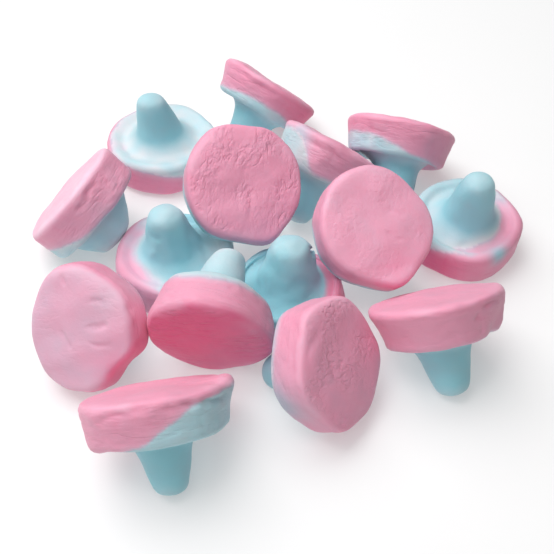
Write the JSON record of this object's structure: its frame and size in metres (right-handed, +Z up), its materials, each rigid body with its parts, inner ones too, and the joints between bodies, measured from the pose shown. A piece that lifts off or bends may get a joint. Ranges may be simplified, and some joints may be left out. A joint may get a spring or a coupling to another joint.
{
  "type": "heap of gummy mushrooms",
  "caption": "Loose heap of foam gummy mushrooms in pink and blue layers, each a thick round cap on a short tapering stem, lying as they fell.",
  "frame": {"origin": "centre of the heap's bounding box, at the surface it lies on", "axes": "+Z up; the heap's front, as pictured, faces -Y and +X is to the right"},
  "size_m": [0.1234, 0.1344, 0.0339],
  "materials": {
    "pink_foam": "soft matte pink sugar foam with a fine wrinkled skin",
    "blue_foam": "soft matte pale blue sugar foam"
  },
  "bodies": {
    "root": {"mushroom_01_cap": "pink_foam", "mushroom_01_stem": "blue_foam", "mushroom_02_cap": "pink_foam", "mushroom_02_stem": "blue_foam", "mushroom_03_cap": "pink_foam", "mushroom_03_stem": "blue_foam", "mushroom_04_cap": "pink_foam", "mushroom_04_stem": "blue_foam", "mushroom_05_cap": "pink_foam", "mushroom_05_stem": "blue_foam", "mushroom_06_cap": "pink_foam", "mushroom_06_stem": "blue_foam", "mushroom_07_cap": "pink_foam", "mushroom_07_stem": "blue_foam", "mushroom_08_cap": "pink_foam", "mushroom_08_stem": "blue_foam", "mushroom_09_cap": "pink_foam", "mushroom_09_stem": "blue_foam", "mushroom_10_cap": "pink_foam", "mushroom_10_stem": "blue_foam", "mushroom_11_cap": "pink_foam", "mushroom_11_stem": "blue_foam", "mushroom_12_cap": "pink_foam", "mushroom_12_stem": "blue_foam", "mushroom_13_cap": "pink_foam", "mushroom_13_stem": "blue_foam", "mushroom_14_cap": "pink_foam", "mushroom_14_stem": "blue_foam", "mushroom_15_cap": "pink_foam", "mushroom_15_stem": "blue_foam"}
  },
  "joints": []
}
